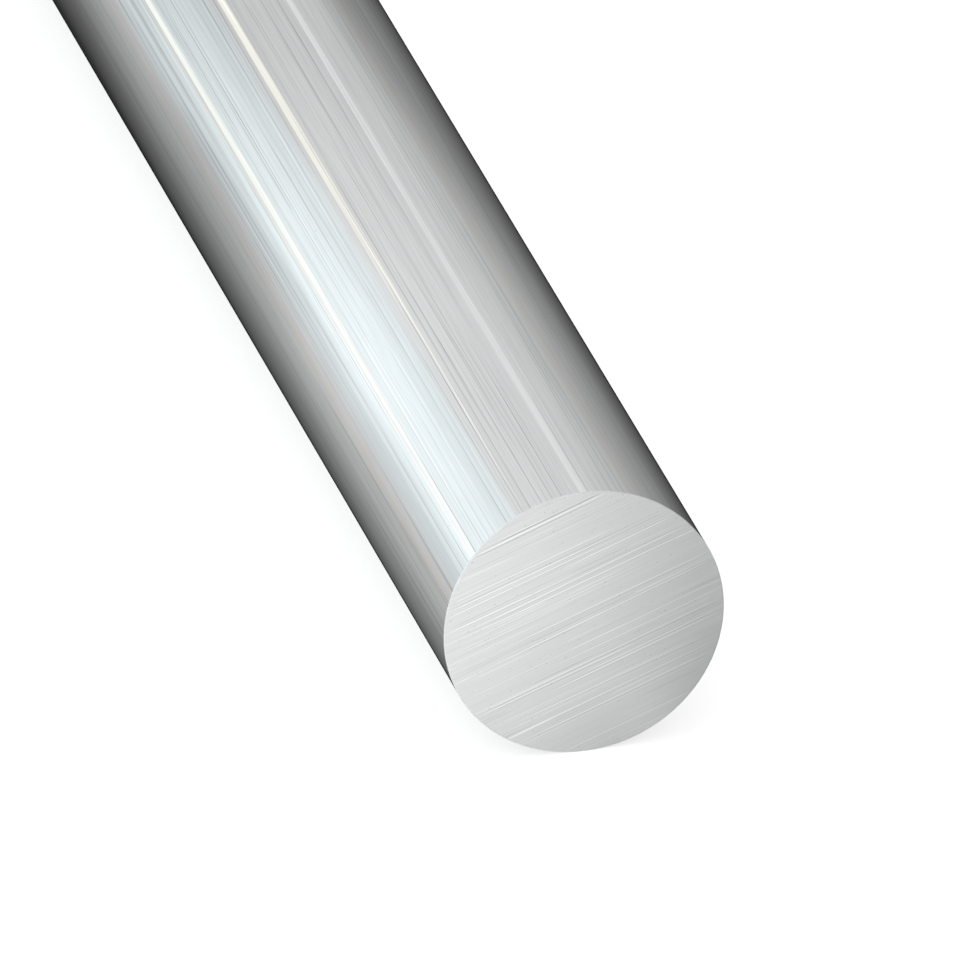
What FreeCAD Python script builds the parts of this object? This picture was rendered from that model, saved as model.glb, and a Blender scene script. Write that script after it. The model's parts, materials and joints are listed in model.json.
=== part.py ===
import FreeCAD, Part
import os

# Round metal bar: one piece of solid stock with a square sawn cut at each end.
# Lengths are in millimetres. +X runs along the bar and +Z is up.
# The origin is on the floor, under the middle of the bar.

# Driving dimensions
bar_diameter = 25.0
bar_length = 300.0
edge_break = 0.1  # the burr taken off round each sawn face, at 45 degrees

# Places that follow from them
bar_radius = bar_diameter / 2
axis_height = bar_radius  # the bar lies on its lowest line, at z = 0
start_x = -bar_length / 2

ALONG = FreeCAD.Vector(1, 0, 0)


def section():
    """The round section, as a flat face square to the bar at its first end."""
    centre = FreeCAD.Vector(start_x, 0, axis_height)
    circle = Part.Circle(centre, ALONG, bar_radius)
    return Part.Face(Part.Wire(circle.toShape()))


def sawn_blank():
    """The section drawn out to length, with sharp edges as the saw leaves them."""
    return section().extrude(ALONG * bar_length)


def rim_edges(blank):
    """The round edge of each sawn face, which is every closed circle on the blank."""
    return [edge for edge in blank.Edges if isinstance(edge.Curve, Part.Circle)]


def round_bar():
    """The whole bar, with the burr taken off both rims."""
    blank = sawn_blank()
    return blank.makeChamfer(edge_break, rim_edges(blank))


os.makedirs("parts", exist_ok=True)
round_bar().exportStep("parts/round_bar.step")
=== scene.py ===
"""Round metal bar: a solid drawn bar with two square sawn ends, in a plain studio."""

import json
import math

import bpy
import numpy as np
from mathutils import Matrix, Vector


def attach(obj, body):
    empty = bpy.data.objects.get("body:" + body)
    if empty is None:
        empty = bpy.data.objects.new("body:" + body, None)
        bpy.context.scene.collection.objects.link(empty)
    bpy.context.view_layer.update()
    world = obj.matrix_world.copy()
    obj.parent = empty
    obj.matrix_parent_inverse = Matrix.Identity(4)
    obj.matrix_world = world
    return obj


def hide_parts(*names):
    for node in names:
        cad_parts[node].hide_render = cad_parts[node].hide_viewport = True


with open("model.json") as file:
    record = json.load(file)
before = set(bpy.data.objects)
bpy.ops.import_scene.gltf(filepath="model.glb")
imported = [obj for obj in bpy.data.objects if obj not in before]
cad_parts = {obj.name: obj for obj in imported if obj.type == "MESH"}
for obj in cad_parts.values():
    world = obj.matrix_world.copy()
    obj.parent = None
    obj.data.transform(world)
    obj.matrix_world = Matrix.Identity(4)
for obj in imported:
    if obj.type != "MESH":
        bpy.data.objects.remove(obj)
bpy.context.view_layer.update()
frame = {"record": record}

bl_info = {
    "name": "Round Metal Bar",
    "version": (1, 0, 0),
    "blender": (4, 5, 0),
    "location": "3D View > Sidebar > Round Bar",
    "description": "Builds a drawn round bar with sawn ends, and the studio it lies in",
    "category": "Object",
}

# The bar's own sizes, in metres, read from the frame's record
MM = 0.001
mounts = {mount["name"]: mount for mount in frame["record"]["mounts"]}
outside = mounts["bar_outside"]
BAR_RADIUS = outside["dims"]["r_mm"] * MM
AXIS_HEIGHT = outside["pos_m"][2]
NEAR_END = mounts["near_sawn_end"]["pos_m"][0]
FAR_END = mounts["far_sawn_end"]["pos_m"][0]
BAR_LENGTH = NEAR_END - FAR_END
EDGE_BREAK = (BAR_LENGTH - outside["dims"]["length_mm"] * MM) / 2
FACE_RADIUS = BAR_RADIUS - EDGE_BREAK  # of the flat of each sawn face
MIDDLE = np.array([0.0, AXIS_HEIGHT])  # of the round section, across and up

# The photograph: its frame, and where the near sawn face lies in it, in pixels
PHOTO_SIDE = 972
FACE_CENTRE_PX = (584.1, 622.2)
FACE_WIDTH_PX = 290.1
LENS_PX = 38750.0  # the lens as a length in pixels, from how the bar's sides converge
SENSOR_MM = 36.0
CLIP_END = 100.0  # metres, past all that the camera sees

# Slots of the bar's mesh
DRAWN, SAWN, RIM = 0, 1, 2

LAY_MAP = "lay"  # millimetres along and across the tool marks
BAKE_MAP = "OFBake"  # the whole surface laid flat once
# On the drawn side the tone also carries a thin painted highlight
TONE = "line_tone"  # how dark (below 0) or bright (above 0) a mark is


# Settings

# What properties of one kind share
LENGTH = {"unit": "LENGTH", "subtype": "DISTANCE"}
DEPTH = {"precision": 7, **LENGTH}
ANGLE = {"unit": "ROTATION", "subtype": "ANGLE"}
SHARE = {"min": 0.0, "max": 1.0, "subtype": "FACTOR"}
COLOUR = {"min": 0.0, "max": 1.0, "subtype": "COLOR"}


class ROUNDBAR_PG_shape(bpy.types.PropertyGroup):
    """Relief that the die and the saw leave"""

    segments: bpy.props.IntProperty(
        name="Segments", description="Facets round the bar", default=2160, min=360
    )
    stations: bpy.props.IntProperty(
        name="Stations", description="Rings along the bar", default=29, min=8
    )
    columns: bpy.props.IntProperty(
        name="Columns", description="Points along each row of a sawn face", default=11, min=5
    )
    die_lines: bpy.props.IntProperty(
        name="Die Lines", description="Lines drawn along the bar by the die", default=620, min=0
    )
    die_line_depth: bpy.props.FloatProperty(
        name="Die Line Depth", description="Depth of the deepest die line", default=0.5e-6, **DEPTH
    )
    saw_marks: bpy.props.IntProperty(
        name="Saw Marks", description="Single marks across each sawn face", default=46, min=0
    )
    saw_mark_depth: bpy.props.FloatProperty(
        name="Saw Mark Depth", description="Depth of the deepest saw mark", default=3.2e-6, **DEPTH
    )
    near_saw_angle: bpy.props.FloatProperty(
        name="Near Saw Angle",
        description="Rise of the marks on the near face, to the right as one faces it",
        default=math.radians(21.0),
        **ANGLE,
    )
    far_saw_angle: bpy.props.FloatProperty(
        name="Far Saw Angle",
        description="Rise of the marks on the far face, seen from the near end",
        default=math.radians(-33.0),
        **ANGLE,
    )
    seed: bpy.props.IntProperty(
        name="Seed", description="Chooses another set of die lines and saw marks", default=11
    )


class ROUNDBAR_PG_finish(bpy.types.PropertyGroup):
    """Mill finish of the metal"""

    metal: bpy.props.FloatVectorProperty(
        name="Metal", description="Colour of the clean metal", default=(0.79, 0.80, 0.805), **COLOUR
    )
    warm: bpy.props.FloatVectorProperty(
        name="Warm Band",
        description="Faint straw tint of the warmer bands along the side",
        default=(0.795, 0.79, 0.78),
        **COLOUR,
    )
    sawn: bpy.props.FloatVectorProperty(
        name="Sawn Metal",
        description="Colour of the fresh metal that the saw lays bare",
        default=(0.79, 0.805, 0.80),
        **COLOUR,
    )
    side_roughness: bpy.props.FloatProperty(
        name="Side Roughness", description="Roughness between the die lines", default=0.062, **SHARE
    )
    face_roughness: bpy.props.FloatProperty(
        name="Face Roughness", description="Roughness of the sawn faces", default=0.42, **SHARE
    )


class ROUNDBAR_PG_studio(bpy.types.PropertyGroup):
    """Light tent, strip lamps and floor"""

    tent_radius: bpy.props.FloatProperty(
        name="Tent Radius",
        description="Distance from the bar to the fabric of the light tent",
        default=0.60,
        **LENGTH,
    )
    floor_side: bpy.props.FloatProperty(
        name="Floor Side", description="Side of the square floor", default=40.0, **LENGTH
    )
    floor_colour: bpy.props.FloatVectorProperty(
        name="Floor", description="Colour of the floor", default=(0.56, 0.56, 0.56), **COLOUR
    )
    floor_lift: bpy.props.FloatProperty(
        name="Floor Lift",
        description="Light added to the floor for the camera, so that it reads white",
        default=0.72,
        min=0.0,
    )
    azimuth: bpy.props.FloatProperty(
        name="Azimuth",
        description="Turn of the camera round the bar, from straight across it",
        default=math.radians(75.14),
        **ANGLE,
    )
    elevation: bpy.props.FloatProperty(
        name="Elevation",
        description="Rise of the camera above the floor",
        default=math.radians(26.60),
        **ANGLE,
    )


# Node helpers


def add_node(tree, kind, inputs=None, **options):
    """Adds a node. Each input is a plain value, or the socket that feeds it."""
    node = tree.nodes.new(kind)
    for name, value in options.items():
        setattr(node, name, value)
    for name, value in (inputs or {}).items():
        if isinstance(value, bpy.types.NodeSocket):
            tree.links.new(value, node.inputs[name])
        else:
            node.inputs[name].default_value = value
    return node


def tree_of(*values):
    """The node tree of the sockets among these values."""
    return next(value.id_data for value in values if isinstance(value, bpy.types.NodeSocket))


def parts(vector):
    """A vector's three values."""
    return add_node(tree_of(vector), "ShaderNodeSeparateXYZ", {"Vector": vector}).outputs


def uv_place(tree, name):
    """The place in a UV map."""
    return add_node(tree, "ShaderNodeUVMap", uv_map=name).outputs["UV"]


def calc(operation, *values, clamp=False):
    """A Math node's result."""
    options = {"operation": operation, "use_clamp": clamp}
    return add_node(tree_of(*values), "ShaderNodeMath", dict(enumerate(values)), **options).outputs[0]


def between(share, lowest, highest):
    """The value at this share of the way from the lowest to the highest."""
    return calc("MULTIPLY_ADD", share, highest - lowest, lowest)


def weighted_sum(start, terms):
    """start plus each value times its weight."""
    total = start
    for value, weight in terms:
        total = calc("MULTIPLY_ADD", value, weight, total)
    return total


def ramp(factor, stops):
    """A Color Ramp's colour. Stops are (place from 0 to 1, grey or colour)."""
    node = add_node(tree_of(factor), "ShaderNodeValToRGB", {"Fac": factor})
    elements = node.color_ramp.elements
    while len(elements) < len(stops):
        elements.new(0.5)
    for element, (place, shade) in zip(elements, stops):
        element.position = place
        element.color = (*shade, 1.0) if isinstance(shade, tuple) else (shade, shade, shade, 1.0)
    return node.outputs["Color"]


def map_range(value, source, target=(0.0, 1.0), smooth=False):
    """Value taken from the range source to the range target, and held inside it."""
    inputs = {
        "Value": value,
        "From Min": source[0],
        "From Max": source[1],
        "To Min": target[0],
        "To Max": target[1],
    }
    kind = "SMOOTHSTEP" if smooth else "LINEAR"
    node = add_node(tree_of(value), "ShaderNodeMapRange", inputs, interpolation_type=kind)
    return node.outputs["Result"]


def curve(value, stops):
    """A grey read off the stops (value, grey), straight between them and level past the ends."""
    lowest, highest = stops[0][0], stops[-1][0]
    places = [((place - lowest) / (highest - lowest), grey) for place, grey in stops]
    return ramp(map_range(value, (lowest, highest)), places)


MIX_FACTOR, MIX_FIRST, MIX_SECOND, MIX_RESULT = 0, 6, 7, 2  # a Mix node's sockets for colours


def mix_colour(factor, first, second, blend="MIX"):
    """A Mix node's colour. Each colour is a socket, or red, green and blue."""
    inputs = {MIX_FACTOR: factor}
    for place, colour in ((MIX_FIRST, first), (MIX_SECOND, second)):
        inputs[place] = colour if isinstance(colour, bpy.types.NodeSocket) else (*colour, 1.0)
    tree = tree_of(*inputs.values())
    node = add_node(tree, "ShaderNodeMix", inputs, data_type="RGBA", blend_type=blend)
    return node.outputs[MIX_RESULT]


def multiply(first, second):
    """Two colours multiplied."""
    return mix_colour(1.0, first, second, "MULTIPLY")


def empty_material(name):
    """A material and its empty tree of nodes."""
    material = bpy.data.materials.new(name)
    material.use_nodes = True
    material.node_tree.nodes.clear()
    return material, material.node_tree


def end_in(tree, shader):
    """Ends a material in this shader."""
    add_node(tree, "ShaderNodeOutputMaterial", {"Surface": shader.outputs[0]})


def shared_group(name, inputs, outputs, fill):
    """The shader node group of this name, which fill makes the first time. Each input has its
    default, which is a number, or None for a vector."""
    if name in bpy.data.node_groups:
        return bpy.data.node_groups[name]
    tree = bpy.data.node_groups.new(name, "ShaderNodeTree")
    for label, default in inputs.items():
        kind = "NodeSocketVector" if default is None else "NodeSocketFloat"
        socket = tree.interface.new_socket(name=label, in_out="INPUT", socket_type=kind)
        if default is not None:
            socket.default_value = default
    for label in outputs:
        tree.interface.new_socket(name=label, in_out="OUTPUT", socket_type="NodeSocketFloat")
    results = fill(tree, tree.nodes.new("NodeGroupInput").outputs)
    add_node(tree, "NodeGroupOutput", dict(zip(outputs, results)))
    return tree


def use_group(tree, group, inputs):
    """Places the group in a material, with its own values, and returns its outputs."""
    return add_node(tree, "ShaderNodeGroup", inputs, node_tree=group).outputs


# Shared effects

NOISE_REACH = 2.0  # noise keeps near its middle, so this stretches it to about -1 to 1
HAIRLINE_FADE = (0.15, 0.5)  # lengths from a line's middle to where it starts to fade, and ends
SMUDGE_RANGE = (0.48, 0.75)  # noise between clean metal and the heart of a smudge
PIT_SIZES = (0.4, 1.2)  # in pit radii
PIT_STRENGTHS = (0.25, 1.0)


def cell_pattern(tree, spot, scale):
    """A pattern of random cells: its outputs, and three random values for each cell."""
    inputs = {"Vector": spot, "Scale": scale}
    cells = add_node(tree, "ShaderNodeTexVoronoi", inputs, voronoi_dimensions="2D").outputs
    return cells, add_node(tree, "ShaderNodeSeparateColor", {"Color": cells["Color"]}).outputs


def streaks_group():
    """Streaks along the lay of a drawn or sawn surface: a tone from -1 to 1."""

    def fill(tree, given):
        along, across, _ = parts(given["Lay"])
        along = calc("ADD", calc("DIVIDE", along, given["Length"]), given["Shift"])
        across = calc("DIVIDE", across, given["Width"])
        place = {"X": along, "Y": across, "Z": given["Shift"]}
        spot = add_node(tree, "ShaderNodeCombineXYZ", place).outputs[0]
        pattern = {"Vector": spot, "Scale": 1.0, "Detail": 2.0, "Roughness": 0.6}
        noise = add_node(tree, "ShaderNodeTexNoise", pattern).outputs[0]
        centred = between(noise, -NOISE_REACH, NOISE_REACH)
        crisp = calc("MULTIPLY", centred, given["Crispness"])
        return (calc("MINIMUM", calc("MAXIMUM", crisp, -1.0), 1.0),)

    inputs = {"Lay": None, "Length": 60.0, "Width": 0.5, "Shift": 0.0, "Crispness": 1.0}
    return shared_group("tool_mark_streaks", inputs, ("Tone",), fill)


def hairlines_group():
    """Single fine lines, each with its own start, end, slant and strength: a tone from -1 to 1."""

    def fill(tree, given):
        along, across, _ = parts(given["Lay"])
        along = calc("ADD", calc("DIVIDE", along, given["Length"]), given["Shift"])
        across = calc("ADD", calc("DIVIDE", across, given["Spacing"]), given["Shift"])
        spot = add_node(tree, "ShaderNodeCombineXYZ", {"X": along, "Y": across}).outputs[0]
        # Each cell of the pattern holds the middle of one line
        cells, (chance, strength, tilt) = cell_pattern(tree, spot, 1.0)
        middle = parts(cells["Position"])
        away = calc("SUBTRACT", along, middle[0])
        slant = calc("MULTIPLY", calc("SUBTRACT", tilt, 0.5), given["Slant"])
        off = calc("MULTIPLY_ADD", away, slant, calc("SUBTRACT", across, middle[1]))
        off = calc("MULTIPLY", calc("ABSOLUTE", off), given["Spacing"])
        line = calc("SUBTRACT", 1.0, calc("DIVIDE", off, given["Width"]), clamp=True)
        ends = map_range(calc("ABSOLUTE", away), HAIRLINE_FADE, (1.0, 0.0), smooth=True)
        bright = calc("LESS_THAN", chance, given["Bright Share"])
        # Most lines are faint and a few are strong
        strength = calc("MULTIPLY", strength, strength)
        signed = calc("MULTIPLY", strength, between(bright, -1.0, 1.0))
        return (calc("MULTIPLY", calc("MULTIPLY", line, ends), signed),)

    inputs = {"Lay": None, "Length": 60.0, "Spacing": 0.5, "Width": 0.08, "Slant": 0.3, "Shift": 0.0}
    return shared_group("hairlines", {**inputs, "Bright Share": 0.3}, ("Tone",), fill)


def handling_group():
    """What storing and handling leave on bare metal: soft smudges and tiny dark pits."""

    def fill(tree, given):
        smudge_scale = calc("DIVIDE", 1.0, given["Smudge Size"])
        pattern = {"Vector": given["Place"], "Scale": smudge_scale, "Detail": 3.0}
        cloud = add_node(tree, "ShaderNodeTexNoise", pattern).outputs[0]
        pit_scale = calc("DIVIDE", 1.0, given["Pit Spacing"])
        cells, (chance, size, depth) = cell_pattern(tree, given["Place"], pit_scale)
        reach = calc("DIVIDE", given["Pit Radius"], given["Pit Spacing"])
        reach = calc("MULTIPLY", reach, between(size, *PIT_SIZES))
        off = calc("DIVIDE", cells["Distance"], reach)
        inside = calc("SUBTRACT", 1.0, off, clamp=True)
        chosen = calc("LESS_THAN", chance, given["Pit Share"])
        strength = calc("MULTIPLY", chosen, between(depth, *PIT_STRENGTHS))
        pit = calc("MULTIPLY", inside, strength)
        return map_range(cloud, SMUDGE_RANGE, smooth=True), pit

    inputs = {"Place": None, "Smudge Size": 9.0, "Pit Spacing": 1.3, "Pit Radius": 0.06, "Pit Share": 0.3}
    return shared_group("handling_marks", inputs, ("Smudge", "Pit"), fill)


# Materials of the bar

# A surface's marks. Streaks: length and width in millimetres, shift of their pattern, crispness.
# Hairlines: length, spacing and width in millimetres, shift. Beside them and the other marks:
# what they add to the shade, to the roughness and, in metres, to the height. Hairlines crowd
# together in some bands and leave others clean, by streaks taken from one range to another.
SIDE_MARKS = {
    "streaks": (
        ((900.0, 3.6, 1.7, 1.0), (0.022, 0.008, 0.0)),
        ((200.0, 0.50, 5.3, 1.1), (0.022, 0.012, 0.3e-6)),
        ((50.0, 0.15, 9.1, 1.2), (0.026, 0.012, 0.08e-6)),
        ((32.0, 0.08, 31.7, 1.2), (0.034, 0.0, 0.0)),
        ((8.0, 0.13, 61.3, 1.3), (0.040, 0.0, 0.0)),
    ),
    "crowding": ((160.0, 1.6, 47.3, 1.2), (-0.6, 0.7), (0.15, 1.0)),
    "hairlines": (
        ((90.0, 0.45, 0.085, 3.7), (0.46, 0.0, 0.0)),
        ((45.0, 0.22, 0.06, 8.3), (0.44, 0.0, 0.0)),
    ),
    "hairline_kind": {"Slant": 0.5, "Bright Share": 0.12},
    "pit_kind": {"Pit Spacing": 1.1, "Pit Radius": 0.08, "Pit Share": 0.006},
    "in_mesh": (0.68, 0.0, 0.0),
    "smudges": (0.0, 0.015, 0.0),
    "pits": (-0.3, 0.3, -6.0e-6),
}
FACE_MARKS = {
    "streaks": (
        ((60.0, 1.1, 3.1, 1.0), (0.004, 0.01, 0.6e-6)),
        ((24.0, 0.24, 7.7, 1.1), (0.006, 0.012, 0.3e-6)),
        ((9.0, 0.08, 13.3, 1.2), (0.020, 0.0, 0.4e-6)),
    ),
    "crowding": ((40.0, 1.3, 51.9, 1.2), (-0.5, 0.7), (0.1, 1.0)),
    "hairlines": (
        ((22.0, 0.6, 0.08, 5.9), (0.31, 0.0, 0.0)),
        ((8.0, 0.3, 0.06, 17.3), (0.35, 0.0, 0.0)),
    ),
    "hairline_kind": {"Slant": 0.3, "Bright Share": 0.7},
    "pit_kind": {"Pit Spacing": 0.34, "Pit Radius": 0.08, "Pit Share": 0.10},
    "in_mesh": (0.50, -0.08, 0.0),
    "smudges": (0.0, 0.04, 0.0),
    "pits": (-0.35, 0.2, -8.0e-6),
}
SIDE_SHADE, FACE_SHADE = 1.0, 0.962  # between the marks
WARM_BANDS, WARM_RANGE = (1400.0, 4.4, 23.9, 1.3), (0.2, 1.0)
CHATTER = (1.4, 0.4, 2.2, 1.0)  # streaks across the rim
# The rim's shade starts 8% above the bare metal's: a painted highlight along the rim, broken by the
# chatter
RIM_PAINTED_HIGHLIGHT, RIM_ROUGHNESS = (1.08, 0.10), (0.60, 0.06)  # between the chatter, and what it adds


def streaks(tree, lay, length, width, shift, crispness):
    """The tone of one set of streaks."""
    inputs = {"Lay": lay, "Length": length, "Width": width, "Shift": shift, "Crispness": crispness}
    return use_group(tree, streaks_group(), inputs)["Tone"]


def hairlines(tree, lay, kind, length, spacing, width, shift):
    """The tone of one set of hairlines."""
    inputs = {"Lay": lay, "Length": length, "Spacing": spacing, "Width": width, "Shift": shift}
    return use_group(tree, hairlines_group(), {**inputs, **kind})["Tone"]


def marked(tree, lay, marks, shade, roughness):
    """Shade, roughness and height of a surface, from the shade and roughness between its marks."""
    layers = [(streaks(tree, lay, *size), added) for size, added in marks["streaks"]]
    size, source, target = marks["crowding"]
    crowd = map_range(streaks(tree, lay, *size), source, target)
    for size, added in marks["hairlines"]:
        line = hairlines(tree, lay, marks["hairline_kind"], *size)
        layers.append((calc("MULTIPLY", line, crowd), added))
    in_mesh = add_node(tree, "ShaderNodeAttribute", attribute_name=TONE).outputs["Fac"]
    layers.append((in_mesh, marks["in_mesh"]))
    handling = use_group(tree, handling_group(), {"Place": lay, **marks["pit_kind"]})
    layers.append((handling["Smudge"], marks["smudges"]))
    layers.append((handling["Pit"], marks["pits"]))
    sums = []
    for place, start in enumerate((shade, roughness, 0.0)):
        terms = [(value, added[place]) for value, added in layers if added[place]]
        sums.append(weighted_sum(start, terms))
    return sums


def end_in_metal(tree, colour, shade, roughness, height=None):
    """Ends a material in metal of this colour times the shade. Height is in metres."""
    grey = {"Red": shade, "Green": shade, "Blue": shade}
    grey = add_node(tree, "ShaderNodeCombineColor", grey).outputs[0]
    inputs = {"Base Color": multiply(colour, grey), "Roughness": roughness, "Metallic": 1.0}
    if height is not None:
        relief = {"Height": height, "Distance": 1.0, "Strength": 1.0}
        inputs["Normal"] = add_node(tree, "ShaderNodeBump", relief).outputs[0]
    end_in(tree, add_node(tree, "ShaderNodeBsdfPrincipled", inputs))


def drawn_side_material(finish):
    """The drawn side: long streaks, soft warm and cool bands and fine die lines, with a thin painted
    highlight among them.
    """
    material, tree = empty_material("drawn_metal_side")
    lay = uv_place(tree, LAY_MAP)
    warmth = map_range(streaks(tree, lay, *WARM_BANDS), WARM_RANGE, smooth=True)
    colour = mix_colour(warmth, finish.metal, finish.warm)
    end_in_metal(tree, colour, *marked(tree, lay, SIDE_MARKS, SIDE_SHADE, finish.side_roughness))
    return material


def sawn_face_material(finish):
    """A sawn face: fine scoring along the cut, brighter marks, and small dark pits."""
    material, tree = empty_material("sawn_metal_face")
    lay = uv_place(tree, LAY_MAP)
    look = marked(tree, lay, FACE_MARKS, FACE_SHADE, finish.face_roughness)
    end_in_metal(tree, finish.sawn, *look)
    return material


def broken_rim_material(finish):
    """The narrow bevel where the burr was taken off, with fine chatter, and a painted highlight: its
    colour is lighter than the bare metal's.
    """
    material, tree = empty_material("broken_rim")
    chatter = streaks(tree, uv_place(tree, LAY_MAP), *CHATTER)
    look = [weighted_sum(start, ((chatter, added),)) for start, added in (RIM_PAINTED_HIGHLIGHT, RIM_ROUGHNESS)]
    end_in_metal(tree, finish.metal, *look)
    return material


# The bar's mesh


def bell(distance, half_width):
    """A smooth bump, 1 at its middle and near 0 past twice its half width."""
    return np.exp(-((distance / half_width) ** 2))


BURR_PLACE = 2.2  # from the middle of a mark to the metal pushed up beside it, in half widths


def scored(distance, half_width, burr):
    """The tone across a mark: 1 at its middle, and the opposite beside it, by the share burr."""
    shift = BURR_PLACE * half_width
    beside = bell(distance - shift, half_width) + bell(distance + shift, half_width)
    return bell(distance, half_width) - burr * beside


def fade(place, start, end, length):
    """1 between start and end, falling smoothly to 0 over the length beside them."""
    rise = np.clip((place - start) / length + 0.5, 0, 1)
    fall = np.clip((end - place) / length + 0.5, 0, 1)
    window = np.minimum(rise, fall)
    return window * window * (3 - 2 * window)


FINEST_LINE = 0.04 * MM  # half width of the finest die line
DIE_BURR = 0.12

# The clearest die lines, and a thin painted highlight among them: degrees round the bar from its side at
# +Y over its top, where each starts and ends in millimetres from the near end, half width in finest
# lines, and tone
MAIN_LINES = (
    (177.4, -20, 30, 1, -0.3), (175.1, 40, 71, 1, -0.25), (175.1, 84, 110, 1, -0.35),
    (166.8, 55, 95, 1, -0.3), (164.6, -20, 17, 1.4, -0.45), (163.8, 20, 61, 1, 0.25),
    (158.6, -20, 25, 1, -0.25), (155.6, 43, 90, 1, -0.3), (151.3, 46, 90, 1.2, -0.5),
    (149.2, -20, 31, 1.1, -0.55), (148.2, 46, 58, 2.0, -0.25), (147.4, 66, 110, 1, -0.2),
    (145.6, -20, 22, 1, -0.55), (144.0, 24, 80, 1, -0.45), (142.7, 20, 42, 1, -0.3),
    (140.5, -20, 21, 1, -0.55), (138.3, 48, 66, 2.0, -0.2), (137.1, 0, 33, 1, -0.4),
    (132.9, 48, 110, 1, -0.4), (132.9, 76, 110, 1, -0.3), (131.7, 13, 25, 1, -0.35),
    (129.6, -20, 13, 1, -0.35), (127.9, 52, 78, 1.4, -0.4), (123.3, 34, 48, 1, -0.4),
    (123.3, -20, 13, 1, -0.4), (121.1, -20, 28, 1, -0.3), (117.0, 46, 100, 1.2, -0.12),
    # Near 115 degrees two bright rows are a painted highlight: they carry the mirrored cream strip on as
    # a thin bright line towards the near end
    (115.7, -20, 25, 1, -0.45), (115.2, 10, 24, 1.3, 0.6), (114.7, 20, 54, 1.2, 0.6),
    (112.3, 30, 66, 1.5, -0.45), (112.3, -20, 25, 1, -0.5), (110.1, 12, 28, 1, -0.4),
    (109.7, 26, 48, 1.2, -0.5), (109.7, 50, 70, 1, -0.2), (107.4, -20, 20, 1, -0.4),
    (106.2, 49, 70, 1.2, -0.4), (106.2, 10, 22, 1.2, -0.35), (105.2, 56, 80, 1, -0.25),
    (104.5, 17, 40, 1, -0.4), (103.0, 39, 68, 1, -0.3), (103.0, -20, 19, 1, -0.4),
    (101.5, 68, 90, 1, -0.5), (99.1, -20, 29, 1.1, -0.55), (97.3, 10, 24, 1, -0.4),
    (95.6, 36, 70, 4.0, -0.1), (84.6, 50, 68, 1, -0.3), (81.8, 46, 72, 1, -0.4),
    (80.0, 50, 90, 1.2, -0.4), (78.2, 50, 71, 1, -0.4), (78.6, -20, 26, 1, -0.4),
    (74.1, 42, 61, 1, -0.4), (67.4, -20, 28, 1, -0.3), (56.4, 46, 70, 2.2, -0.3),
    (56.4, -20, 110, 2.0, -0.12),
)
MAIN_LINE_RUN_OUT = 12 * MM
# Where they crowd, round the bar and from the near end, and how softly that ends
MAIN_LINES_TURN, MAIN_LINES_TURN_EDGE = (math.radians(80), math.radians(170)), 0.1
MAIN_LINES_LENGTH, MAIN_LINES_LENGTH_EDGE = (-20 * MM, 110 * MM), 30 * MM
AMONG_MAIN_LINES = 0.5  # strength of the other lines there

# The other die lines, which are random
LINE_CLUSTERS, LINE_SPREAD = 26, 0.05  # places round the bar where they crowd, spread in radians
LOOSE_LINES = 0.45  # share that lies outside the clusters
LINE_WIDTHS, LINE_WIDTH_SPREAD = (0.9, 2.5), 0.35  # in finest lines
LINE_CUTS = (0.15, 1.0)  # squared for the share of the greatest depth
LINE_TONES, LINE_TONE_POWER = (0.1, 0.8), 2.5  # most are faint and a few are strong
LINE_SIGNS = (-1.0, -1.0, 0.5)  # two in three are dark
LINE_LENGTHS = (0.08, 0.14, 0.25, 0.8)  # of the bar's length
LINE_RUN_OUTS = (10 * MM, 40 * MM)


def die_relief(shape, angles, places):
    """Depth and tone of the die lines, with a thin painted highlight in the tone, for each ring along the
    bar and each angle round it.
    """
    random = np.random.default_rng(shape.seed)
    depth = np.zeros((len(places), len(angles)))
    tone = np.zeros_like(depth)

    def off(middle):
        """Distance from the middle of a line, round the bar."""
        return ((angles - middle + math.pi) % math.tau - math.pi) * BAR_RADIUS

    for degrees, start, end, width, shade in MAIN_LINES:
        along = fade(NEAR_END - places, start * MM, end * MM, MAIN_LINE_RUN_OUT)
        across = scored(off(math.radians(degrees)), width * FINEST_LINE, DIE_BURR)
        tone += np.outer(along, across) * shade
    among = np.outer(
        fade(NEAR_END - places, *MAIN_LINES_LENGTH, MAIN_LINES_LENGTH_EDGE),
        fade(angles, *MAIN_LINES_TURN, MAIN_LINES_TURN_EDGE),
    )
    faintness = 1 - (1 - AMONG_MAIN_LINES) * among
    clusters = random.uniform(0, math.tau, LINE_CLUSTERS)
    for _ in range(shape.die_lines):
        middle = random.choice(clusters) + random.normal(0, LINE_SPREAD)
        if random.random() < LOOSE_LINES:
            middle = random.uniform(0, math.tau)
        width = np.clip(random.lognormal(0.0, LINE_WIDTH_SPREAD), *LINE_WIDTHS)
        half_width = width * FINEST_LINE
        cut = random.uniform(*LINE_CUTS) ** 2 * shape.die_line_depth
        shade = random.uniform(*LINE_TONES) ** LINE_TONE_POWER / width * random.choice(LINE_SIGNS)
        length = BAR_LENGTH * random.choice(LINE_LENGTHS)
        centre = random.uniform(FAR_END, NEAR_END)
        run_out = random.uniform(*LINE_RUN_OUTS)
        along = fade(places, centre - length / 2, centre + length / 2, run_out)
        depth += np.outer(along, bell(off(middle), half_width)) * cut
        tone += np.outer(along, scored(off(middle), half_width, DIE_BURR)) * faintness * shade
    return depth, np.clip(tone, -1, 1)


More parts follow.
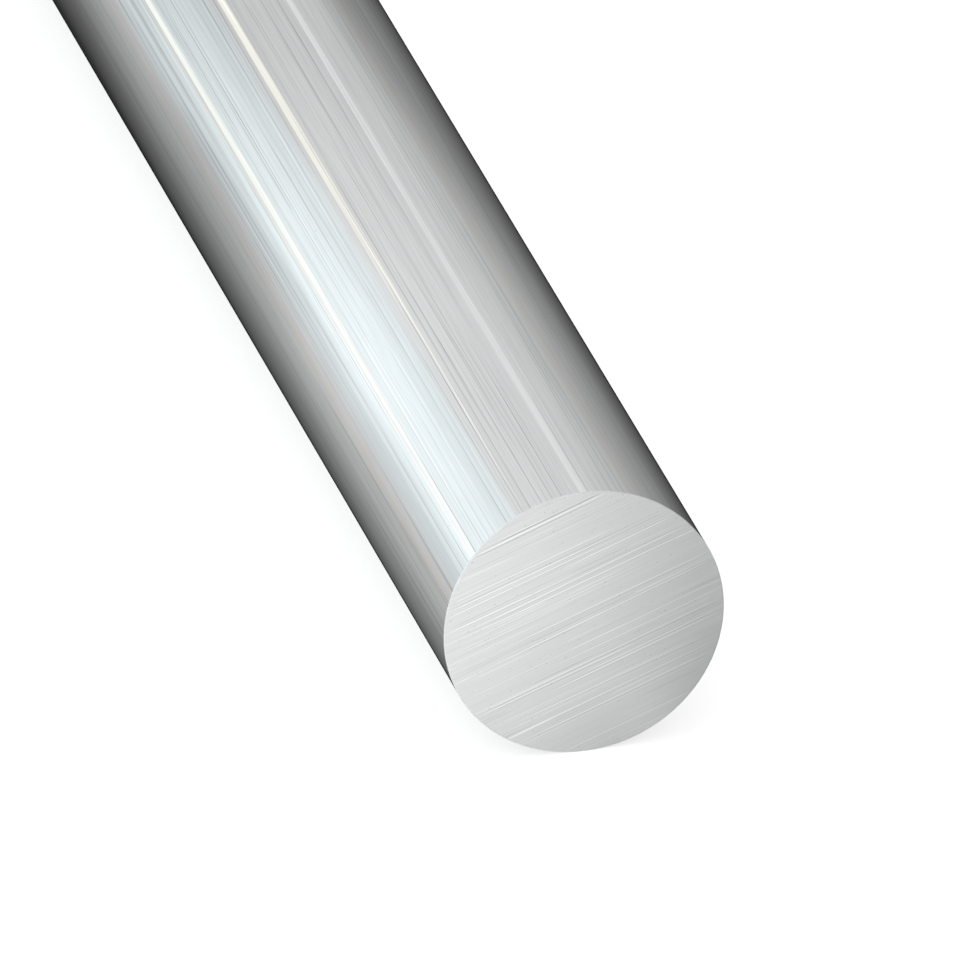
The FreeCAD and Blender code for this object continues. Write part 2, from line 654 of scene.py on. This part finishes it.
# The clearest marks on the near face: height across the marks, start and end along them, all as
# shares of the radius, and strength, which is below 0 where the mark is dark
MAIN_MARKS = (
    (0.869, -0.2, 1, -0.8), (0.854, -1, 1, 0.6), (0.837, -1, 0.3, -0.5),
    (0.752, -0.4, 0.6, -0.4), (0.71, -1, -0.4, 0.6), (0.699, 0.0, 0.8, -0.3),
    (0.578, -1, 0.3, 0.7), (0.543, -1, 0.4, -0.25), (0.527, -1, 0.2, 0.7),
    (0.519, 0.4, 1, -0.6), (0.494, -1, 0.1, 0.7), (0.482, 0.2, 1, -0.25),
    (0.456, 0.4, 1, 1), (0.415, -1, -0.4, -0.35), (0.378, -1, -0.5, 0.5),
    (0.365, -0.8, 1, -0.25), (0.338, -0.4, 1, 0.9), (0.335, -1, -0.4, 0.5),
    (0.320, -0.4, 1, -0.25), (0.295, -0.4, 1, 0.7), (0.263, -1, -0.4, 0.5),
    (0.230, -0.3, 0.4, 0.4), (0.190, -1, -0.4, 0.35), (0.178, -1, 0.0, -0.2),
    (0.084, -0.3, 1, 0.8), (0.070, 0.0, 0.8, -0.3), (0.058, -1, -0.1, -0.4),
    (0.006, -0.3, 1, 1), (-0.154, -1, 1, 0.3), (-0.216, 0.1, 1, 1),
    (-0.295, -1, 1, 0.7), (-0.309, -1, 1, -0.3), (-0.323, -1, 0.0, 1),
    (-0.340, -1, 1, -0.4), (-0.363, 0.0, 1, 0.9), (-0.387, -0.1, 1, 0.8),
    (-0.400, 0.0, 1, -0.25), (-0.447, -1, -0.4, 0.6), (-0.499, -0.4, 0.4, 1),
    (-0.531, 0.0, 0.8, -0.3), (-0.578, -1, 1, 0.9), (-0.597, -0.4, 0.4, -0.3),
    (-0.644, -0.3, 1, 1), (-0.661, -0.4, 0.4, -0.2), (-0.863, -0.6, 0.8, 0.8),
)
MAIN_MARK_BURR, MARK_BURR = 0.24, 0.2
AMONG_MAIN_MARKS = 0.6  # strength of the other marks beside them

# The other saw marks, which are random. Heights, starts and lengths are shares of the radius
MARK_CLUSTERS, MARK_HEIGHTS = 12, (-0.95, 0.95)  # on a face with no marks listed one by one
MARK_SPREAD = 0.04
MARK_STARTS, MARK_LENGTHS = (-2.0, 0.6), (0.6, 2.6)
MARK_STRENGTHS = (0.2, 0.70)  # squared for their strength
MARK_SIGNS = (1, 1, -0.5)  # two in three are bright

# Of all saw marks
MARK_SLANT = 0.35  # degrees
MARK_WIDTHS = (0.030, 0.045)  # half widths in millimetres
MARK_RUN_OUTS = (0.15, 0.6)  # shares of the radius


def saw_relief(shape, seed, along, across, main_marks):
    """Depth and tone of the saw marks at points given along and across them, in metres."""
    random = np.random.default_rng(seed)
    marks = [(*mark, 1, MAIN_MARK_BURR) for mark in main_marks]
    clusters = [mark[0] for mark in main_marks] or list(random.uniform(*MARK_HEIGHTS, MARK_CLUSTERS))
    faintness = AMONG_MAIN_MARKS if main_marks else 1.0
    for _ in range(shape.saw_marks):
        height = random.choice(clusters) + random.normal(0, MARK_SPREAD)
        start = random.uniform(*MARK_STARTS)
        strength = random.uniform(*MARK_STRENGTHS) ** 2 * faintness
        end = start + random.uniform(*MARK_LENGTHS)
        marks.append((height, start, end, strength, random.choice(MARK_SIGNS), MARK_BURR))
    depth = np.zeros_like(along)
    tone = np.zeros_like(along)
    for height, start, end, strength, sign, burr in marks:
        slant = math.radians(random.normal(0, MARK_SLANT))
        half_width = MM * random.uniform(*MARK_WIDTHS)
        run_out = random.uniform(*MARK_RUN_OUTS) * BAR_RADIUS
        off = across - height * BAR_RADIUS - along * math.tan(slant)
        first, last = start * BAR_RADIUS - run_out / 2, end * BAR_RADIUS + run_out / 2
        window = fade(along, first, last, run_out) * strength
        depth += abs(window) * bell(off, half_width) * shape.saw_mark_depth
        tone += window * sign * scored(off, half_width, burr)
    return depth, np.clip(tone, -1, 1)


# The flat map: height of the side, and of each ring of the rims above it; then the middle of the
# near face, its size, and how far to the right of it the far face lies
SIDE_FLAT, RIM_FLAT = 0.72, 0.008
FACE_FLAT_MIDDLE, FACE_FLAT_SIZE, FACE_FLAT_STEP = (0.25, 0.88), (0.49, 0.22), 0.5
RIM_RINGS = 2


def side_rings(shape, angles):
    """Rings from the near face to the far face: places along the bar, radii and tones."""
    stations = np.linspace(NEAR_END - EDGE_BREAK, FAR_END + EDGE_BREAK, shape.stations)
    depth, tone = die_relief(shape, angles, stations)
    bevel = EDGE_BREAK * (1 - math.sqrt(0.5))  # the rim is rounded, and this is its middle
    places = [NEAR_END, NEAR_END - bevel, *stations, FAR_END + bevel, FAR_END]
    plain = np.zeros_like(angles)
    rim_radii = [plain + FACE_RADIUS, BAR_RADIUS - bevel - depth[0]]
    far_rim_radii = [BAR_RADIUS - bevel - depth[-1], plain + FACE_RADIUS]
    radii = [*rim_radii, *(BAR_RADIUS - depth), *far_rim_radii]
    return places, radii, [plain, plain, *tone, plain, plain]


def ring_blocks(shape, places, index):
    """The quads between the rings, a block for each two rings. Each block is the points at the
    corners, their places along and across the marks and in the flat map, and the slot."""
    count = shape.segments
    turn = np.arange(count)
    shares = np.stack([turn, turn, turn + 1, turn + 1], 1) / count
    heights = (
        SIDE_FLAT + RIM_FLAT * np.array([2, 1, 0]),
        np.linspace(SIDE_FLAT, 0.0, shape.stations),
        SIDE_FLAT + RIM_FLAT * np.array([5, 4, 3]),
    )
    pairs = [pair for run in heights for pair in zip(run, run[1:])]
    blocks = []
    for ring, (high, low) in enumerate(pairs):
        here, beyond = index[ring], index[ring + 1]
        corners = np.stack([here, beyond, np.roll(beyond, -1), np.roll(here, -1)], 1)
        flat = np.stack([shares, np.tile([high, low, low, high], (count, 1))], 2)
        x, beyond_x = places[ring] / MM, places[ring + 1] / MM
        along = np.tile([x, beyond_x, beyond_x, x], (count, 1))
        lay = np.stack([along, shares * (BAR_RADIUS * math.tau / MM)], 2)
        if ring < RIM_RINGS or ring >= len(pairs) - RIM_RINGS:
            # The rim's chatter runs round the bar
            blocks.append((corners, lay[:, :, ::-1], flat, RIM))
        else:
            blocks.append((corners, lay, flat, DRAWN))
    return blocks


def face_rows(shape, angle):
    """The rows of a sawn face, parallel to its marks: ring indices at both ends of each row, and
    the inner points' places along and across the marks. The first and last rows are one point."""
    count = shape.segments
    top = round(count * (angle + math.pi / 2) / math.tau)
    steps = np.arange(count // 2 + 1)
    left = (top + steps) % count
    right = (top - steps) % count
    turn = math.tau * steps / count
    share = np.linspace(-1, 1, shape.columns + 2)[1:-1]
    along = FACE_RADIUS * np.outer(np.sin(turn), share)[1:-1]
    across = np.repeat(FACE_RADIUS * np.cos(turn)[1:-1, None], shape.columns, axis=1)
    return left, right, along, across


def quads(grid, winding):
    """The four corners of each cell of a grid of rows."""
    cells = [grid[:-1, :-1], grid[1:, :-1], grid[1:, 1:], grid[:-1, 1:]]
    return np.stack(cells[::winding], 2).reshape(-1, 4, *grid.shape[2:])


def fan(tip, row, winding):
    """The three corners of each triangle between a tip and the row beside it."""
    tips = np.broadcast_to(tip, row[:-1].shape)
    return np.stack([tips, row[:-1], row[1:]], 1)[:, ::winding]


def sawn_end(shape, first, rim_ring, end_x, outward, saw_angle, flat_left, main_marks):
    """A sawn face: its inner points, which count from first, their tones, and its blocks."""
    left, right, along, across = face_rows(shape, saw_angle)
    cut, tones = saw_relief(shape, shape.seed + outward, along, across, main_marks)
    marks_along = np.array([math.cos(saw_angle), math.sin(saw_angle)])
    marks_across = np.array([-math.sin(saw_angle), math.cos(saw_angle)])
    section = along[..., None] * marks_along + across[..., None] * marks_across + MIDDLE
    points = np.concatenate([(end_x - outward * cut)[..., None], section], 2).reshape(-1, 3)

    def flat_map(spots):
        """Places in the flat map of places along and across the marks."""
        middle = np.array(FACE_FLAT_MIDDLE) + (flat_left, 0.0)
        return middle + FACE_FLAT_SIZE * spots[..., ::-1] / (2 * FACE_RADIUS)

    inner = first + np.arange(along.size).reshape(along.shape)
    rows = np.column_stack([rim_ring[left[1:-1]], inner, rim_ring[right[1:-1]]])
    height = across[:, 0]
    chord = np.sqrt(np.maximum(FACE_RADIUS**2 - height**2, 0))
    row_along = np.column_stack([-chord, along, chord])
    spots = np.stack([row_along, np.column_stack([height, across, height])], 2)
    grids = rows, spots / MM, flat_map(spots)
    blocks = [(*(quads(grid, outward) for grid in grids), SAWN)]
    for end, side in ((0, 1), (-1, -1)):
        spot = np.array([0.0, side * FACE_RADIUS])
        tips = rim_ring[left[end]], spot / MM, flat_map(spot)
        fans = [fan(tip, grid[end], side * outward) for tip, grid in zip(tips, grids)]
        blocks.append((*fans, SAWN))
    return points, tones.ravel(), blocks


def bar_mesh(shape):
    """The whole bar as one closed mesh: side rings, broken rims and rows across both faces."""
    count = shape.segments
    angles = math.tau * np.arange(count) / count
    unit = np.stack([np.cos(angles), np.sin(angles)], 1)
    places, radii, tones = side_rings(shape, angles)
    points = []
    for x, radius in zip(places, radii):
        points.append(np.column_stack([np.full(count, x), MIDDLE + unit * radius[:, None]]))
    index = np.arange(count * len(places)).reshape(-1, count)
    blocks = ring_blocks(shape, places, index)
    ends = (
        (index[0], NEAR_END, 1, shape.near_saw_angle, 0.0, MAIN_MARKS),
        (index[-1], FAR_END, -1, shape.far_saw_angle, FACE_FLAT_STEP, ()),
    )
    for end in ends:
        inner, marks, end_blocks = sawn_end(shape, sum(map(len, points)), *end)
        points.append(inner)
        tones.append(marks)
        blocks += end_blocks
    blocks.sort(key=lambda block: -block[0].shape[1])  # quads first, then triangles
    corners, lays, flats, kinds = zip(*blocks)
    faces = [face for block in corners for face in block.tolist()]
    slots = np.concatenate([np.full(len(block), kind) for block, kind in zip(corners, kinds)])
    lay, flat = (np.concatenate([block.reshape(-1, 2) for block in maps]) for maps in (lays, flats))
    return np.concatenate(points), faces, slots, lay, flat, np.concatenate(tones)


def mark_sharp_rims(mesh, slots, faces):
    """Keeps the shading of side, rim and face apart along the edges where they meet."""
    kinds = {}
    for face, slot in zip(faces, slots):
        for a, b in zip(face, face[1:] + face[:1]):
            kinds.setdefault((min(a, b), max(a, b)), set()).add(slot)
    sharp = [len(kinds[tuple(sorted(edge.vertices))]) > 1 for edge in mesh.edges]
    attribute = mesh.attributes.new("sharp_edge", "BOOLEAN", "EDGE")
    attribute.data.foreach_set("value", sharp)


def build_bar(shape, finish):
    """Makes the bar and lets it stand for the frame's node."""
    points, faces, slots, lay, flat, tones = bar_mesh(shape)
    mesh = bpy.data.meshes.new("round_bar_metal")
    mesh.from_pydata(points, [], faces)
    mesh.polygons.foreach_set("material_index", slots.astype(np.int32))
    mesh.polygons.foreach_set("use_smooth", np.ones(len(faces), dtype=bool))
    mesh.uv_layers.new(name=LAY_MAP).uv.foreach_set("vector", lay.astype(np.float32).ravel())
    mesh.uv_layers.new(name=BAKE_MAP).uv.foreach_set("vector", flat.astype(np.float32).ravel())
    mesh.attributes.new(TONE, "FLOAT", "POINT").data.foreach_set("value", tones.astype(np.float32))
    mark_sharp_rims(mesh, slots.tolist(), faces)
    mesh.update()
    for make_material in (drawn_side_material, sawn_face_material, broken_rim_material):
        mesh.materials.append(make_material(finish))
    bar = bpy.data.objects.new("round_bar_metal", mesh)
    bpy.context.scene.collection.objects.link(bar)
    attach(bar, "root")
    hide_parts("round_bar")


# The studio

FABRIC_MAP = "UVMap"  # shares of the way round the tent and along it


def only_mirrored(thing):
    """Lets the metal mirror a light source that the camera doesn't see."""
    thing.visible_camera = False
    thing.visible_shadow = False
    thing.visible_transmission = False


def round_place(x, radius, turn):
    """A place at this distance from the bar's middle line, and this turn from its side at +Y."""
    return x, radius * math.cos(turn), AXIS_HEIGHT + radius * math.sin(turn)


def sheet_object(name, points, columns=2, uvs=None):
    """A stage object: a sheet from rows of points, with this many points in each row."""
    faces = []
    for corner in range(len(points) - columns):
        if (corner + 1) % columns:
            faces.append((corner, corner + 1, corner + columns + 1, corner + columns))
    mesh = bpy.data.meshes.new(name)
    mesh.from_pydata(points, [], faces)
    if uvs is not None:
        layer = mesh.uv_layers.new(name=FABRIC_MAP)
        for loop in mesh.loops:
            layer.data[loop.index].uv = uvs[loop.vertex_index]
    thing = bpy.data.objects.new(name, mesh)
    bpy.context.scene.collection.objects.link(thing)
    return thing


def light_material(name, colour, strength):
    """A glowing fabric or diffuser. Colour and strength are functions that make a value or socket."""
    material, tree = empty_material(name)
    material.cycles.emission_sampling = "NONE"
    glow = {"Color": colour(tree), "Strength": strength(tree)}
    end_in(tree, add_node(tree, "ShaderNodeEmission", glow))
    return material


# Faint tints of the light
COOL = (0.93, 1.0, 1.015)
WARM = (1.03, 1.0, 0.965)
GREEN = (0.99, 1.01, 1.0)
# How bright the tent's fabric is, from its foot on the right (0 degrees) over the top to the left,
# and its tint where it has one
TENT_LIGHT = (
    (0, 0.32), (11, 0.42), (28, 0.56), (43, 0.66), (54, 0.73), (70, 0.79), (89, 0.835),
    (103, 0.888), (109, 0.87), (117, 0.92), (126, 1.07, COOL), (135, 1.077, COOL),
    (145, 1.20, COOL), (153, 1.20, COOL), (160, 1.165, COOL), (169, 1.20, COOL),
    (172.5, 1.26, COOL), (175, 1.15, COOL), (180, 1.02, COOL),
)
TENT_PEAK = max(row[1] for row in TENT_LIGHT)
TENT_FAR, TENT_NEAR = -1.55, 1.30  # along the bar, in metres
TENT_STEPS, TENT_ROWS = 48, 12  # facets of its fabric, round the bar and along it
TENT_FADE = (
    (-1.5, 0.25), (-1.02, 0.65), (-0.98, 0.78), (-0.952, 0.885), (-0.943, 0.925),
    (-0.935, 0.955), (-0.926, 0.97), (-0.917, 1.0), (-0.904, 1.0), (-0.897, 0.985),
    (-0.89, 0.955), (-0.883, 0.94),
)

# How much of that fading each part of the tent takes, from its foot on the right
TENT_FADE_SHARE = (
    (0.0, 0.95), (0.14, 0.85), (0.21, 0.15), (0.28, 0.15), (0.36, 0.50), (0.50, 0.64),
    (0.70, 1.0), (0.90, 1.0), (1.0, 1.25),
)


def tinted(light, tint=(1.0, 1.0, 1.0)):
    """A light's colour."""
    return tuple(light * part for part in tint)


def tent_colour(tree):
    """The fabric's light by its place round the bar."""
    turn = parts(uv_place(tree, FABRIC_MAP))[0]
    stops = []
    for degrees, light, *tint in TENT_LIGHT:
        stops.append((degrees / 180, tinted(light / TENT_PEAK, *tint)))
    return ramp(turn, stops)


def tent_strength(tree):
    """The tent's light, fading towards its far end."""
    turn, along, _ = parts(uv_place(tree, FABRIC_MAP))
    length = TENT_NEAR - TENT_FAR
    stops = [((x - TENT_FAR) / length, 1 - light) for x, light in TENT_FADE]
    loss = calc("MULTIPLY", ramp(along, stops), curve(turn, TENT_FADE_SHARE))
    return calc("MULTIPLY", calc("SUBTRACT", 1.0, loss), TENT_PEAK)


def build_tent(studio):
    """A half-round tent of white fabric over the bar, lit from outside."""
    points, uvs = [], []
    for row in range(TENT_ROWS + 1):
        x = TENT_FAR + (TENT_NEAR - TENT_FAR) * row / TENT_ROWS
        for step in range(TENT_STEPS + 1):
            points.append(round_place(x, studio.tent_radius, math.pi * step / TENT_STEPS))
            uvs.append((step / TENT_STEPS, row / TENT_ROWS))
    tent = sheet_object("light_tent", points, TENT_STEPS + 1, uvs)
    tent.data.materials.append(light_material("tent_fabric", tent_colour, tent_strength))
    only_mirrored(tent)


# Strip lamps inside the tent: degrees round the bar, then, by place along the bar in metres, the
# half width in degrees and the light
STRIPS = {
    "pale_strip": (
        165.0,
        (-1.3, 2.1, (1.14, 1.16, 1.07)),
        (-0.866, 2.1, (1.19, 1.21, 1.12)),
        (-0.848, 2.3, (1.22, 1.23, 1.17)),
        (-0.832, 2.4, (1.26, 1.26, 1.23)),
        (-0.815, 2.4, (1.26, 1.26, 1.24)),
        (-0.80, 1.5, (1.22, 1.23, 1.21)),
        (1.2, 1.5, (1.22, 1.23, 1.21)),
    ),
    "pale_glow": (
        168.4,
        (-1.3, 1.1, (0.90, 0.91, 0.86)),
        (-0.866, 1.2, (0.92, 0.94, 0.90)),
        (-0.848, 1.3, (1.09, 1.11, 1.07)),
        (-0.832, 1.4, (1.22, 1.23, 1.20)),
        (-0.80, 1.4, (1.19, 1.21, 1.20)),
        (1.2, 1.4, (1.19, 1.21, 1.20)),
    ),
    "cream_strip": (
        113.0,
        (-1.3, 2.6, (1.20, 1.17, 1.07)),
        (-0.866, 2.6, (1.18, 1.16, 1.06)),
        (-0.848, 2.5, (1.13, 1.10, 1.02)),
        (-0.832, 2.3, (1.05, 1.04, 1.00)),
        (-0.818, 1.9, (0.95, 0.95, 0.94)),
    ),
    "white_strip": (
        64.0,
        (-1.3, 2.3, (0.86, 0.86, 0.86)),
        (-0.85, 2.3, (0.91, 0.91, 0.91)),
        (1.2, 2.3, (0.92, 0.92, 0.92)),
    ),
}
STRIP_LIGHT = "strip_light"
STRIP_INSET = 0.05  # from the tent's fabric


def build_strips(studio):
    """Long slim lamps that the side mirrors as thin bright lines."""
    radius = studio.tent_radius - STRIP_INSET
    glow = light_material(
        "strip_glow",
        lambda tree: add_node(tree, "ShaderNodeAttribute", attribute_name=STRIP_LIGHT).outputs["Color"],
        lambda tree: 1.0,
    )
    for name, (degrees, *outline) in STRIPS.items():
        points, lights = [], []
        for x, half_width, light in outline:
            for side in (-1, 1):
                points.append(round_place(x, radius, math.radians(degrees + side * half_width)))
                lights += (*light, 1.0)
        strip = sheet_object(name, points)
        attribute = strip.data.color_attributes.new(STRIP_LIGHT, "FLOAT_COLOR", "POINT")
        attribute.data.foreach_set("color", lights)
        strip.data.materials.append(glow)
        only_mirrored(strip)


# What the metal mirrors of the floor: distance from the bar's middle line, in metres, light, and its tint
# where it has one. This is painted shade: the floor's mirrored light is painted dark beside the bar, as
# black cards there would make it, to draw the edges of bright metal.
LEFT_PAINTED_SHADE = (
    (0.008, 0.030), (0.014, 0.145), (0.018, 0.235, GREEN), (0.028, 0.43, GREEN),
    (0.038, 0.54, GREEN), (0.046, 0.58, WARM), (0.060, 0.66), (0.107, 0.79, COOL),
    (0.17, 0.80, COOL), (0.6, 0.98, COOL),
)
# Share of the light beyond each band of painted shade, by place along the bar
LEFT_SHARE = (
    (0.055, 0.89), (0.065, 0.85), (0.075, 0.83), (0.083, 0.86), (0.099, 0.94), (0.113, 1.08),
    (0.127, 1.10), (0.14, 1.04),
)
RIGHT_PAINTED_SHADE = ((0.021, 0.025), (0.051, 0.145), (0.118, 0.255), (0.6, 0.33))
RIGHT_SHARE = ((0.06, 0.88), (0.07, 0.84), (0.08, 0.86), (0.091, 0.88), (0.101, 0.95), (0.11, 1.0))
PAST_LEFT_PAINTED_SHADE, PAST_RIGHT_PAINTED_SHADE = (-0.012, -0.045), (0.04, 0.10)  # across the bar
PAINTED_SHADE_SOFTNESS = 0.05  # metres: spreads the places near the bar over most of the ramp
STATION_SLANT = 1.7  # metres towards the camera where the bar mirrors a spot one metre aside
# The painted shade on the left lies at a slight angle: what the bar mirrors of it is wider at its far
# end. The painted shade on the right ends short of the camera. Both by place along the bar, and the share
# there
PAINTED_SHADE_WIDENING, RIGHT_PAINTED_SHADE_END = ((0.03, 0.14), (0.70, 1.14)), ((0.185, 0.27), (1.0, 2.2))
# A painted shadow under the bar, in the floor's mirrored light
UNDER_LEFT_PAINTED_SHADOW, UNDER_RIGHT_PAINTED_SHADOW = (-0.0090, -0.0104), (0.0255, 0.028)  # where the dark under the bar ends
# In front of the near face, painted shade: brightness by slope, which rises away from the bar and to the
# left
FRONT_PAINTED_SHADE = ((-1.4, 0.70), (-0.7, 0.58), (-0.35, 0.45), (-0.15, 0.50), (0.42, 1.27), (1.0, 1.25))
FRONT_TO_LEFT, FRONT_AHEAD = -22.5, 11.0  # slope for each metre
# A soft painted shadow on its right: share of the light by distance across
FRONT_PAINTED_SHADOW = (
    (-0.010, 0.86), (0.003, 1.02), (0.008, 1.21), (0.012, 0.99), (0.017, 0.725), (0.035, 0.74),
    (0.08, 1.0),
)
# The floor in front begins below the near face, and further ahead to both sides: the soft edge
# there, half its straight width, and how its place changes for each metre past that
FRONT_EDGE = (NEAR_END - 0.5 * MM, NEAR_END)
FRONT_HALF_WIDTH, FRONT_SIDE_SLANT = 0.03, -0.4


def painted_shade_place(distance):
    """Squeezes a distance beside the bar into 0 to 1."""
    return distance / (abs(distance) + PAINTED_SHADE_SOFTNESS) / 2 + 0.5


def painted_shade_beside(x, y):
    """The light beside the bar: painted shade beside it, and a painted shadow close under it."""
    station = calc("MULTIPLY_ADD", calc("ABSOLUTE", y), STATION_SLANT, x)
    widening = map_range(station, *PAINTED_SHADE_WIDENING)
    to_right = calc("MAXIMUM", y, 0.0)
    to_left = calc("MULTIPLY", calc("MINIMUM", y, 0.0), widening)
    distance = calc("ADD", to_left, to_right)
    reach = calc("ADD", calc("ABSOLUTE", distance), PAINTED_SHADE_SOFTNESS)
    place = calc("MULTIPLY_ADD", calc("DIVIDE", distance, reach), 0.5, 0.5)
    stops = [(painted_shade_place(-away), tinted(*light)) for away, *light in reversed(LEFT_PAINTED_SHADE)]
    stops += [(painted_shade_place(away), tinted(*light)) for away, *light in RIGHT_PAINTED_SHADE]
    light = ramp(place, stops)
    for shares, past_shade in ((LEFT_SHARE, PAST_LEFT_PAINTED_SHADE), (RIGHT_SHARE, PAST_RIGHT_PAINTED_SHADE)):
        shaded = multiply(light, curve(station, shares))
        light = mix_colour(map_range(y, past_shade), light, shaded)
    right_station = calc("MULTIPLY_ADD", to_right, STATION_SLANT, x)
    light = multiply(light, map_range(right_station, *RIGHT_PAINTED_SHADE_END))
    # The metal mirrors a painted shadow close under the bar along both outlines
    on_left, on_right = map_range(y, UNDER_LEFT_PAINTED_SHADOW), map_range(y, UNDER_RIGHT_PAINTED_SHADOW)
    return multiply(light, calc("MAXIMUM", on_left, on_right))


def painted_shade_in_front(x, y):
    """The painted shade and painted shadow in front of the near face."""
    ahead = calc("MULTIPLY", calc("SUBTRACT", x, NEAR_END), FRONT_AHEAD)
    slope = calc("MULTIPLY_ADD", y, FRONT_TO_LEFT, ahead)
    return multiply(curve(slope, FRONT_PAINTED_SHADE), curve(y, FRONT_PAINTED_SHADOW))


def mirrored_floor(tree):
    """The painted light of the floor as the metal mirrors it: painted shade beside and in front of the
    bar, and a painted shadow under it.
    """
    x, y, _ = parts(add_node(tree, "ShaderNodeTexCoord").outputs["Object"])
    outside_front = calc("SUBTRACT", calc("ABSOLUTE", y), FRONT_HALF_WIDTH)
    aside = calc("MAXIMUM", outside_front, 0.0)
    edge = calc("MULTIPLY_ADD", aside, FRONT_SIDE_SLANT, x)
    in_front = map_range(edge, FRONT_EDGE)
    return mix_colour(in_front, painted_shade_beside(x, y), painted_shade_in_front(x, y))


def build_floor(studio):
    """A pale floor that reads white to the camera and keeps the bar's shadow."""
    half = studio.floor_side / 2
    points = [(x, y, 0) for y in (-half, half) for x in (-half, half)]
    floor = sheet_object("floor", points)
    material, tree = empty_material("pale_floor")
    material.cycles.emission_sampling = "NONE"
    matte = add_node(tree, "ShaderNodeBsdfDiffuse", {"Color": (*studio.floor_colour, 1.0)})
    lift = add_node(tree, "ShaderNodeEmission", {"Strength": studio.floor_lift})
    seen = add_node(tree, "ShaderNodeAddShader", {0: matte.outputs[0], 1: lift.outputs[0]})
    # Glossy and transmission rays see painted light: painted shade and shadow round the bar
    mirrored = add_node(tree, "ShaderNodeEmission", {"Color": mirrored_floor(tree), "Strength": 1.0})
    path = add_node(tree, "ShaderNodeLightPath").outputs
    in_metal = calc("MAXIMUM", path["Is Glossy Ray"], path["Is Transmission Ray"])
    either = {0: in_metal, 1: seen.outputs[0], 2: mirrored.outputs[0]}
    end_in(tree, add_node(tree, "ShaderNodeMixShader", either))
    floor.data.materials.append(material)


WORLD_LIGHT = (0.80, 0.80, 0.80)  # grey light round the tent
BACKDROP = (1.0, 1.0, 1.0)


def build_world():
    """White behind everything for the camera, and soft grey light for the metal."""
    world = bpy.data.worlds.new("studio_world")
    world.use_nodes = True
    tree = world.node_tree
    tree.nodes.clear()
    path = add_node(tree, "ShaderNodeLightPath").outputs
    backdrop = mix_colour(path["Is Camera Ray"], WORLD_LIGHT, BACKDROP)
    background = add_node(tree, "ShaderNodeBackground", {"Color": backdrop, "Strength": 1.0})
    add_node(tree, "ShaderNodeOutputWorld", {"Surface": background.outputs[0]})
    bpy.context.scene.world = world


def build_camera(studio):
    """The photograph's view: the near face at its place in the picture, at its size there."""
    back = Vector(
        (
            math.sin(studio.azimuth) * math.cos(studio.elevation),
            -math.cos(studio.azimuth) * math.cos(studio.elevation),
            math.sin(studio.elevation),
        )
    )
    turn = back.to_track_quat("Z", "Y")
    right, up = turn @ Vector((1, 0, 0)), turn @ Vector((0, 1, 0))
    metres_per_px = 2 * BAR_RADIUS / FACE_WIDTH_PX
    aside = (FACE_CENTRE_PX[0] - PHOTO_SIDE / 2) * metres_per_px
    below = (FACE_CENTRE_PX[1] - PHOTO_SIDE / 2) * metres_per_px
    face_centre = Vector((NEAR_END, 0, AXIS_HEIGHT))
    data = bpy.data.cameras.new("photo_camera")
    data.sensor_width = SENSOR_MM
    data.lens = LENS_PX * SENSOR_MM / PHOTO_SIDE
    data.clip_end = CLIP_END
    camera = bpy.data.objects.new("photo_camera", data)
    camera.rotation_mode = "QUATERNION"
    camera.rotation_quaternion = turn
    camera.location = face_centre - right * aside + up * below + back * LENS_PX * metres_per_px
    bpy.context.scene.collection.objects.link(camera)
    bpy.context.scene.camera = camera


# Operators and panel


class ROUNDBAR_OT_bar(bpy.types.Operator):
    """Build the bar, with its drawn side, sawn ends and broken rims"""

    bl_idname = "roundbar.bar"
    bl_label = "Build Bar"

    def execute(self, context):
        scene = context.scene
        build_bar(scene.roundbar_shape, scene.roundbar_finish)
        return {"FINISHED"}


class ROUNDBAR_OT_studio(bpy.types.Operator):
    """Build the floor, the light tent, its strip lamps, the backdrop and the camera"""

    bl_idname = "roundbar.studio"
    bl_label = "Build Studio"

    def execute(self, context):
        studio = context.scene.roundbar_studio
        build_camera(studio)
        build_floor(studio)
        build_tent(studio)
        build_strips(studio)
        build_world()
        context.scene.view_settings.view_transform = "Standard"
        return {"FINISHED"}


class ROUNDBAR_PT_panel(bpy.types.Panel):
    """Settings of the bar and its studio"""

    bl_label = "Round Metal Bar"
    bl_idname = "ROUNDBAR_PT_panel"
    bl_space_type = "VIEW_3D"
    bl_region_type = "UI"
    bl_category = "Round Bar"

    def draw(self, context):
        scene = context.scene
        for label, settings in (
            ("Shape", scene.roundbar_shape),
            ("Finish", scene.roundbar_finish),
            ("Studio", scene.roundbar_studio),
        ):
            box = self.layout.box()
            box.label(text=label)
            for name in settings.bl_rna.properties.keys():
                if name not in {"rna_type", "name"}:
                    box.prop(settings, name)
        self.layout.operator(ROUNDBAR_OT_bar.bl_idname)
        self.layout.operator(ROUNDBAR_OT_studio.bl_idname)


SETTINGS = {
    "roundbar_shape": ROUNDBAR_PG_shape,
    "roundbar_finish": ROUNDBAR_PG_finish,
    "roundbar_studio": ROUNDBAR_PG_studio,
}
CLASSES = (*SETTINGS.values(), ROUNDBAR_OT_bar, ROUNDBAR_OT_studio, ROUNDBAR_PT_panel)


def register():
    for each in CLASSES:
        bpy.utils.register_class(each)
    for name, group in SETTINGS.items():
        setattr(bpy.types.Scene, name, bpy.props.PointerProperty(type=group))


def unregister():
    for name in SETTINGS:
        delattr(bpy.types.Scene, name)
    for each in reversed(CLASSES):
        bpy.utils.unregister_class(each)


def main():
    """Builds everything in order."""
    register()
    bpy.ops.roundbar.studio()
    bpy.ops.roundbar.bar()


if __name__ == "__main__":
    main()
